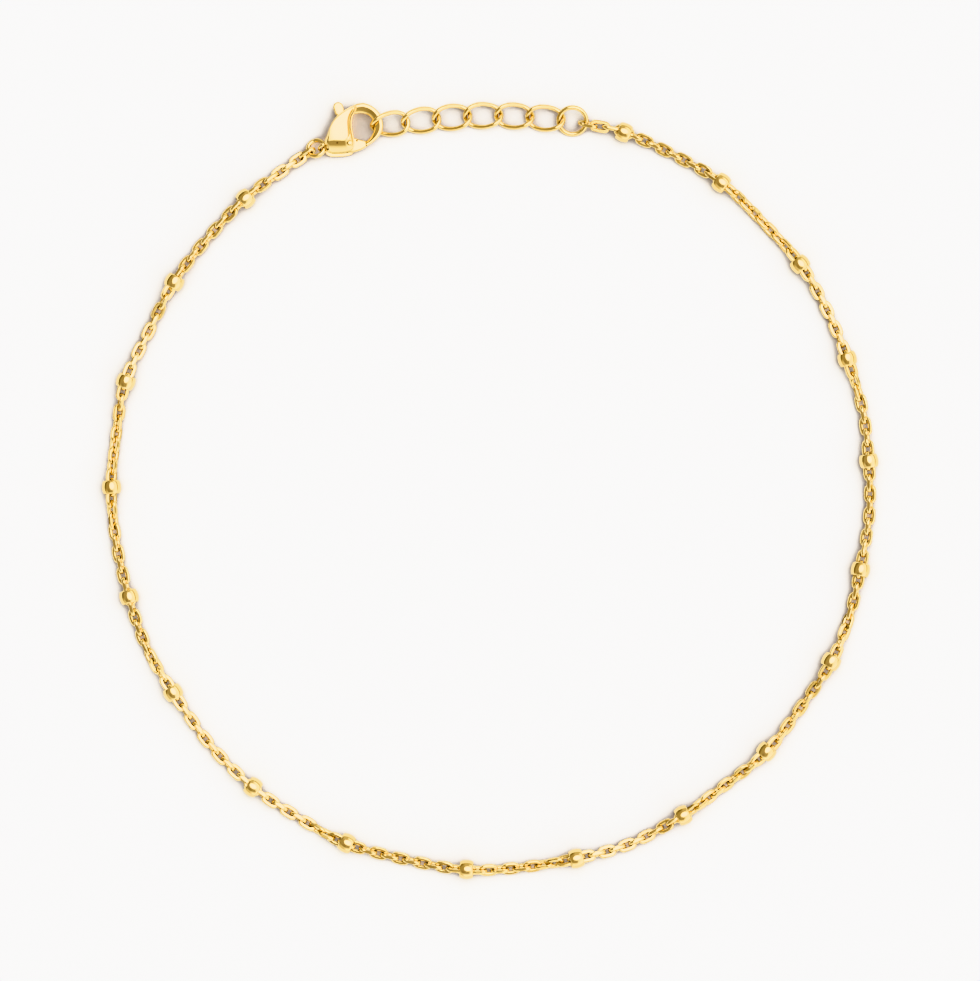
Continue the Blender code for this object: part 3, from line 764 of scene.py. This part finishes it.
PROFILES = (
    # how far in from the rim, as a share; how high the slope and the lip are there
    (0.00, 0.000, 0.00),
    (0.08, 0.140, 0.36),
    (0.20, 0.335, 0.64),
    (0.34, 0.520, 0.83),
    (0.48, 0.670, 0.89),
    (0.62, 0.790, 0.88),
    (0.74, 0.875, 0.86),
    (0.82, 0.920, 0.83),
    (0.88, 0.955, 0.81),
    (0.94, 0.980, 0.84),
    (1.00, 1.000, 1.00),
)
DOME_SIZES = (0.97, 0.90, 0.80, 0.68, 0.54, 0.40, 0.27, 0.15, 0.06)
DOME_CENTRE = (-0.45, 1.90)
DOME_HEADING = math.radians(38)
DOME_HEIGHT = 2.33
DOME_FALL_ALONG = 0.035
DOME_FALL_ACROSS = 0.070


def dome_height(spot):
    """Height of the dome over places of the plan: a very flat hill, long in one direction."""
    off = spot - np.array(DOME_CENTRE)
    along = off[:, 0] * math.cos(DOME_HEADING) + off[:, 1] * math.sin(DOME_HEADING)
    across = off[:, 1] * math.cos(DOME_HEADING) - off[:, 0] * math.sin(DOME_HEADING)
    return (DOME_HEIGHT - DOME_FALL_ALONG * along**2 - DOME_FALL_ACROSS * across**2)[:, None]


def casing_rings():
    """Rings of points from the casing's back to the middle of its dome, in millimetres."""
    table = smooth(CASING, CASING_STEPS, closed=True)
    edge, dome = table[:, 0:2], table[:, 2:4]
    ledge, front_z = np.clip(table[:, 4:5], 0, None), table[:, 5:6]
    lip = np.clip(table[:, 6:7], 0, 1)
    dome_z = dome_height(dome)
    inward = unit(dome - edge)
    back = BACK_WALL / MM
    rings = []
    for inset, height in (*BACK_RINGS, (0.0, back - 0.05)):
        rings.append(np.hstack([edge + inward * inset, np.full_like(ledge, height)]))
    soft = np.minimum(ledge, 0.05)
    rings.append(np.hstack([edge + inward * soft, np.full_like(ledge, back)]))
    front = edge + inward * ledge
    for height in (back + 0.01, back + 0.3, SLOT_TOP / MM - 0.14):
        rings.append(np.hstack([front, np.full_like(ledge, height)]))
    for inset, drop in RIM:
        rings.append(np.hstack([front + inward * inset, front_z + drop]))
    front = front + inward * RIM_WIDTH
    for share, slope, raised in PROFILES:
        rise = slope + (raised - slope) * lip
        spot = front + (dome - front) * share
        rings.append(np.hstack([spot, front_z + (dome_z - front_z) * rise]))
    core = np.array(DOME_CENTRE)
    for size in DOME_SIZES:
        spot = core + (dome - core) * size
        rings.append(np.hstack([spot, dome_height(spot)]))
    return rings


def solid(name, points, faces):
    """A mesh object for building with, kept out of the render."""
    made = bpy.data.objects.new(name, mesh_of(name, points, faces))
    shape = bmesh.new()
    shape.from_mesh(made.data)
    bmesh.ops.recalc_face_normals(shape, faces=shape.faces)
    shape.to_mesh(made.data)
    shape.free()
    bpy.context.scene.collection.objects.link(made)
    return made


rings = casing_rings()
casing = solid(
    "casing", np.concatenate(rings) * MM, grid_faces(len(rings), len(rings[0]), closed=False)
)
print("casing", len(casing.data.polygons), "faces")

# %% [markdown]
# ## The hook
# The hook is a bar that bends round the opening, thick where it leaves the casing and thin at its
# tip. Its crest lies nearer the outside, and the inner face slopes down towards the opening, so the
# two sides mirror different parts of the room. A table gives its outer and inner edge.

# %% Hook loft
HOOK = (
    # outer x, y; inner x, y
    (0.50, 3.16, 0.60, 2.74),
    (1.30, 3.50, 1.16, 2.72),
    (2.02, 3.66, 1.64, 2.72),
    (2.56, 3.60, 2.10, 2.64),
    (3.08, 3.42, 2.50, 2.46),
    (3.70, 2.82, 2.92, 2.10),
    (4.12, 1.92, 3.14, 1.62),
    (4.17, 1.06, 3.14, 1.04),
    (3.94, 0.26, 2.92, 0.42),
    (3.36, -0.34, 2.52, 0.00),
    (2.66, -0.68, 2.12, -0.24),
    (2.10, -0.86, 1.90, -0.33),
    (1.72, -0.94, 1.76, -0.37),
    (1.40, -1.00, 1.60, -0.42),
)
SECTION = (
    # across, from 1 outside to -1 inside; height, from 1 at the top to -1 at the bottom
    (1.00, 0.00), (0.985, 0.40), (0.93, 0.68), (0.82, 0.88), (0.66, 0.98), (0.42, 1.01),
    (0.18, 0.97), (-0.12, 0.82), (-0.45, 0.62), (-0.76, 0.40), (-0.94, 0.16), (-1.00, -0.15),
    (-0.93, -0.55), (-0.72, -0.88), (-0.30, -1.00), (0.30, -1.00), (0.74, -0.90), (0.95, -0.50),
)
HOOK_THICKNESS = 0.82
HOOK_TIP_THICKNESS = 0.66
HOOK_STEPS = 6
SECTION_STEPS = 2
JOINT_SLANT = 0.35


def hook_rings():
    """Sections of the hook from its root to its tip, in millimetres."""
    table = smooth(HOOK, HOOK_STEPS)
    outer, inner = table[:, 0:2], table[:, 2:4]
    middle, half = (outer + inner) / 2, (outer - inner) / 2
    share = np.linspace(0, 1, len(table))[:, None]
    thick = HOOK_THICKNESS + (HOOK_TIP_THICKNESS - HOOK_THICKNESS) * share**2
    across, tall = smooth(SECTION, SECTION_STEPS, closed=True).T
    plan = middle[:, None] + half[:, None] * across[None, :, None]
    height = HOOK_HEIGHT / MM + thick / 2 * tall[None]
    ends = fade((1 - share) * len(table), 0.5, 4.0)
    plan[..., 0] -= JOINT_SLANT * ends * (height - HOOK_HEIGHT / MM)
    return np.concatenate([plan, height[..., None]], axis=-1)


hook_table = hook_rings()
hook = solid(
    "hook", hook_table.reshape(-1, 3) * MM, grid_faces(*hook_table.shape[:2], closed=False)
)
print("hook", len(hook.data.polygons), "faces")

# %% [markdown]
# ## Slot, eye and rivet
# The slot is cut with three flat plates as thick as the lever and its play: room for the arm, for
# the thumb tab and for the gate. Two small pits are drilled, one at the end of the slot and one on
# the slope below the dome. Their floors are cones, so they mirror their own walls and look dark. Then
# the hook, the eye and the rivet are united with the casing, as they are in the casting. A Boolean
# with the exact solver does all of it, and leaves one closed skin.

# %% Clasp body
ARM_WIDTH = 0.8 * MM
ARM_HEADING = math.radians(86)
LEVER_SWING = math.radians(22)
TAB_WIDTH = 1.06 * MM
TAB_REACH = 1.3 * MM
CASING_TOP = 3.42 * MM
TAB_END = CASING_TOP + TAB_REACH - PLAY
GATE_SLOT = ((-2.40, -2.8), (4.2, -2.8), (4.2, 0.60), (0.48, 0.60), (-0.52, 0.0), (-2.2, 0.1))
ABOVE_ALL = 2.6
PITS = (
    # place, radius, height of the floor
    ((-2.40, 0.28), 0.11, 0.72),
    ((-1.22, 0.50), 0.09, 1.45),
)
EYE_POINTS = 48
EYE_SIDES = 20
RIVET = (
    # radius, height
    (0.25, 0.40), (0.25, 1.60), (0.30, 1.62), (0.30, 2.10), (0.285, 2.17), (0.22, 2.22),
    (0.10, 2.24),
)


def plate(name, outline, low, high):
    """A flat plate with an outline, between two heights."""
    outline = np.asarray(outline, float)
    levels = [np.column_stack([outline, np.full(len(outline), z)]) for z in (low, high)]
    return solid(name, np.concatenate(levels), grid_faces(2, len(outline), closed=False))


def swept_arm(inner, outer, half_width):
    """Plan of what a straight arm sweeps as it turns about the rivet, between two radii."""
    steps = 8
    points = []
    for k in range(steps + 1):
        way = ARM_HEADING + LEVER_SWING * k / steps
        side = {0: -half_width, steps: half_width}.get(k, 0.0)
        ahead = np.array([math.cos(way), math.sin(way)])
        points.append(ahead * outer + np.array([-ahead[1], ahead[0]]) * side)
    for way, side in ((ARM_HEADING + LEVER_SWING, half_width), (ARM_HEADING, -half_width)):
        ahead = np.array([math.cos(way), math.sin(way)])
        points.append(ahead * inner + np.array([-ahead[1], ahead[0]]) * side)
    return points


def turned(name, profile, sides=40):
    """A round body about the rivet's axis, from rows of radius and height."""
    angle = 2 * math.pi * np.arange(sides) / sides
    circle = np.stack([np.cos(angle), np.sin(angle), 0 * angle], axis=1)
    rows = [circle * r + (0.0, 0.0, z) for r, z in profile]
    return solid(name, np.concatenate(rows), grid_faces(len(rows), sides, closed=False))


def drill(name, at, radius, floor):
    """A drill standing on a place of the plan, with a cone for its tip. All in millimetres."""
    profile = ((0.02, floor), (radius, floor + radius), (radius, ABOVE_ALL))
    made = turned(name, np.array(profile) * MM, 24)
    made.data.transform(Matrix.Translation((at[0] * MM, at[1] * MM, 0)))
    return made


def change(target, tool, operation):
    """Cuts or unites one building solid with another, which is then removed."""
    step = target.modifiers.new(tool.name, "BOOLEAN")
    step.operation = operation
    step.object = tool
    step.solver = "EXACT"
    step.use_self = operation == "UNION"
    bpy.context.view_layer.update()
    depsgraph = bpy.context.evaluated_depsgraph_get()
    mesh = bpy.data.meshes.new_from_object(target.evaluated_get(depsgraph))
    target.modifiers.clear()
    target.data = mesh
    bpy.data.objects.remove(tool)


slot_plans = {
    "arm_room": swept_arm(-ARM_WIDTH / 2 - PLAY, 2 * TAB_END, ARM_WIDTH / 2 + PLAY),
    "tab_room": swept_arm(TAB_END - TAB_REACH - 2 * PLAY, 2 * TAB_END, TAB_WIDTH / 2 + PLAY),
    "gate_room": np.array(GATE_SLOT) * MM,
}
for name, plan in slot_plans.items():
    change(casing, plate(name, plan, BACK_WALL, SLOT_TOP), "DIFFERENCE")
for at, radius, floor in PITS:
    change(casing, drill("pit", at, radius, floor), "DIFFERENCE")
change(casing, hook, "UNION")

eye_line = oval(EYE_DIAMETER, EYE_DIAMETER, EYE_WIRE, 0.0, EYE_POINTS)
eye_place = Matrix.Translation((*EYE_AT, HOOK_HEIGHT)) @ Matrix.Rotation(EYE_TILT, 4, "X")
eye_points, eye_faces = wire(eye_line, EYE_WIRE, EYE_SIDES)
change(casing, solid("eye", placed(eye_points, eye_place), eye_faces), "UNION")
change(casing, turned("rivet", np.array(RIVET) * MM), "UNION")
casing.data.transform(clasp_place)
body_mesh = casing.data
bpy.data.objects.remove(casing)
piece("clasp_casing_and_hook", body_mesh, cast_gold, ["clasp_body"], sharp=34)

# %% [markdown]
# ## The lever
# Gate, arm and thumb tab are one stamped plate that turns on the rivet, with a spring behind it. Its
# edges are rounded over by the polishing drum, so the plate is lofted with insets at its two faces.
# Where the gate meets the hook's tip, both are cut at the same slant. A small pit beside the rivet
# takes the spring's end.

# %% Lever
GATE = (
    (-0.35, -0.90), (0.28, -1.05), (0.90, -1.08), (1.40, -1.00), (1.62, -0.95),
    (1.70, -0.66), (1.72, -0.36), (1.64, -0.30), (1.36, -0.14), (1.02, 0.08), (0.80, 0.28),
    (0.56, 0.44),
)
LEVER_EDGE = 0.16
EDGE_STEPS = 4
SHOULDER = 0.13
TAB_STEP = 15
BORE = (
    # radius, height
    (0.35, 0.5), (0.35, 1.6),
)
SPRING_PIT = ((0.80, 0.00), 0.12, 0.80)


def lever_plan():
    """Outline of the lever, in millimetres: gate, arm and thumb tab, round the rivet."""
    ahead = np.array([math.cos(ARM_HEADING), math.sin(ARM_HEADING)])
    across = np.array([-ahead[1], ahead[0]])
    neck, end = (TAB_END - TAB_REACH) / MM, TAB_END / MM
    arm, tab = ARM_WIDTH / 2 / MM, TAB_WIDTH / 2 / MM
    points = [np.array(row) for row in GATE]
    points += [ahead * 0.8 - across * arm, ahead * neck - across * arm]
    points.append(ahead * (neck + SHOULDER) - across * tab)
    for degrees in range(-90, 91, TAB_STEP):
        around = math.radians(degrees)
        tip = end - tab + math.cos(around) * tab
        points.append(ahead * tip + across * math.sin(around) * tab)
    points += [ahead * (neck + SHOULDER) + across * tab, ahead * neck + across * arm]
    points.append(ahead * 0.1 + across * arm)
    return np.array(points)


def inset(outline, amount):
    """An outline moved inwards by an amount, for a line that goes round to the left."""
    before = unit(outline - np.roll(outline, 1, 0))
    after = unit(np.roll(outline, -1, 0) - outline)
    inward = np.stack([-(before + after)[:, 1], (before + after)[:, 0]], axis=1)
    length = np.linalg.norm(inward, axis=1, keepdims=True)
    return outline + inward / np.maximum(length, 0.5) * amount


plan = lever_plan()
low, high = (BACK_WALL + PLAY) / MM, (SLOT_TOP - PLAY) / MM
levels = []
for step in range(EDGE_STEPS + 1):
    bend = math.radians(90 * step / EDGE_STEPS)
    levels.append((LEVER_EDGE * (1 - math.sin(bend)), low + LEVER_EDGE * (1 - math.cos(bend))))
levels += [(gap, low + high - z) for gap, z in levels[::-1]]
rows = [np.column_stack([inset(plan, gap), np.full(len(plan), z)]) for gap, z in levels]
for row in rows:
    near_joint = np.clip((row[:, 0] - 1.2) / 0.4, 0.0, 1.0)
    row[:, 0] -= JOINT_SLANT * near_joint * (row[:, 2] - HOOK_HEIGHT / MM)
lever_faces = grid_faces(len(rows), len(plan), closed=False)
lever = solid("lever", np.concatenate(rows) * MM, lever_faces)
change(lever, turned("bore", np.array(BORE) * MM), "DIFFERENCE")
change(lever, drill("spring_pit", *SPRING_PIT), "DIFFERENCE")
lever.data.transform(clasp_place)
lever_mesh = lever.data
bpy.data.objects.remove(lever)
piece(
    "sprung_lever", lever_mesh, cast_gold, ["clasp_lever"], body="lever", sharp=34
)

# %% [markdown]
# ## The table
# The anklet lies on a matt white board that is almost as bright as the paper of the page. Beside the
# wires it takes only faint shadows, but where gold stands on both sides its colour is painted a warm
# grey, as painted shade, and in the small holes of the chain an emission paints the light that the
# gold throws on it, as a painted glow. Ambient occlusion, leaning once to each side, measures how
# much stands in the way, and the painted shade and glow follow it.

# %% Table
TABLE_RADIUS = 1.4
table_ring = [
    (TABLE_RADIUS * math.cos(a), TABLE_RADIUS * math.sin(a), 0.0)
    for a in np.linspace(0, 2 * math.pi, 96, endpoint=False)
]
table = bpy.data.objects.new("table", mesh_of("table", table_ring, [tuple(range(96))]))
bpy.context.scene.collection.objects.link(table)
SHADE_REACH = 2.6 * MM
SHADE_SAMPLES = 10
OTHER_SIDE = 0.04
SHADE_SIDE = (0.35, 0.55, 0.76)
PAPER_COLOR = (0.855, 0.867, 0.888, 1.0)
SHADE_COLOR = (0.30, 0.26, 0.235, 1.0)
GLOW_COLOR = (0.80, 0.56, 0.36, 1.0)
white = bpy.data.materials.new("matt_white")
white.use_nodes = True
paper = Mask(white.node_tree, None)


def shut(x, y):
    """How much stands in the way, within reach, on one side of a spot of the board."""
    side = paper.out(paper.node("ShaderNodeCombineXYZ", None, {0: x, 1: y, 2: SHADE_SIDE[2]}))
    values = {"Distance": SHADE_REACH, "Normal": side}
    around = paper.node("ShaderNodeAmbientOcclusion", {"samples": SHADE_SAMPLES}, values)
    return 1.0 - paper.out(around, "AO")


closed = shut(*SHADE_SIDE[:2]) * (shut(-SHADE_SIDE[0], -SHADE_SIDE[1]) + OTHER_SIDE)
# Painted shade: the board's colour turns a warm grey where gold stands on both sides.
board = closed.between(0.01, 0.18).blend(PAPER_COLOR, SHADE_COLOR)
# Painted glow: an emission stands in for the light that the gold throws into the chain's holes.
glow = closed.between(0.26, 0.46).blend((0.0, 0.0, 0.0, 1.0), GLOW_COLOR)
paper_shader = white.node_tree.nodes["Principled BSDF"]
paper_shader.inputs["Roughness"].default_value = 0.9
paper_shader.inputs["Specular IOR Level"].default_value = 0.1
paper_shader.inputs["Emission Strength"].default_value = 1.0
white.node_tree.links.new(board.socket, paper_shader.inputs["Base Color"])
white.node_tree.links.new(glow.socket, paper_shader.inputs["Emission Color"])
table.data.materials.append(white)
print("table", 2 * TABLE_RADIUS, "m across")

# %% [markdown]
# ## Light
# Polished metal shows the room, so the room is designed for it. A soft box almost overhead, a little
# to the far right, turns every flat top pale and draws the bright line on each wire. The right wall
# and the floor on the near side are bright too, which gives the slopes that face them their clear
# yellow. The rest of the room is dim: the far side, the left wall, darkest near its foot, and the
# camera's own side above the near floor. What is dim is also warm, so the dark streaks of the gold
# turn brown and not green.
#
# The room is the world's colour by direction, and the camera itself sees a plain pale grey. The view
# transform has a gentle shoulder, as a camera has, so the brightest gold turns pale and doesn't burn
# out.

# %% Studio
scene = bpy.context.scene
scene.view_settings.view_transform = "Khronos PBR Neutral"
world = bpy.data.worlds.new("studio")
scene.world = world
world.use_nodes = True
tree = world.node_tree
sky = Mask(tree, None)
direction = sky.out(sky.node("ShaderNodeTexCoord"), "Generated")
axes = sky.node("ShaderNodeSeparateXYZ", None, {0: direction})
east, north, up = (sky.out(axes, k) for k in range(3))

BOX = (0.16, 0.20, 0.967)
BOX_LIGHT = 6.6
DIM_LIGHT = 0.72
RIGHT_LIGHT = 1.9
NEAR_LIGHT = 2.2
CAMERA_DIMS = 0.20
LEFT_DIMS, LEFT_FOOT_DIMS = 0.32, 0.38
PAPER_LIGHT = 1.6
WHITE = (1.0, 1.0, 1.0, 1.0)
WARM = (1.0, 0.80, 0.55, 1.0)


def towards(aim):
    """How nearly a direction points along the aim: the cosine of the angle between them."""
    values = {0: direction, 1: aim}
    return sky.out(sky.node("ShaderNodeVectorMath", {"operation": "DOT_PRODUCT"}, values), "Value")


softbox = towards(BOX).between(0.86, 0.95)
right_wall = east.between(0.20, 0.60) * up.between(0.20, 0.45)
near_low = (0.0 - north).between(0.05, 0.60) * (1.0 - up.between(0.15, 0.70))
camera_side = (0.0 - north).between(0.05, 0.50) * up.between(0.45, 0.75)
room = DIM_LIGHT + RIGHT_LIGHT * right_wall + NEAR_LIGHT * near_low - CAMERA_DIMS * camera_side
left_wall = (0.0 - east).between(0.10, 0.50)
left_foot = left_wall * (1.0 - up.between(0.25, 0.55))
room = room * (1.0 - LEFT_DIMS * left_wall - LEFT_FOOT_DIMS * left_foot)
room = room * (1.0 - softbox) + BOX_LIGHT * softbox
tint = room.between(0.2, 1.6).blend(WARM, WHITE)
camera_ray = sky.out(sky.node("ShaderNodeLightPath"), "Is Camera Ray")
seen = room * (1.0 - camera_ray) + PAPER_LIGHT * camera_ray
background = tree.nodes["Background"]
shown_tint = camera_ray.blend(tint, WHITE)
tree.links.new(shown_tint.socket, background.inputs["Color"])
tree.links.new(seen.socket, background.inputs["Strength"])
print("studio ready")
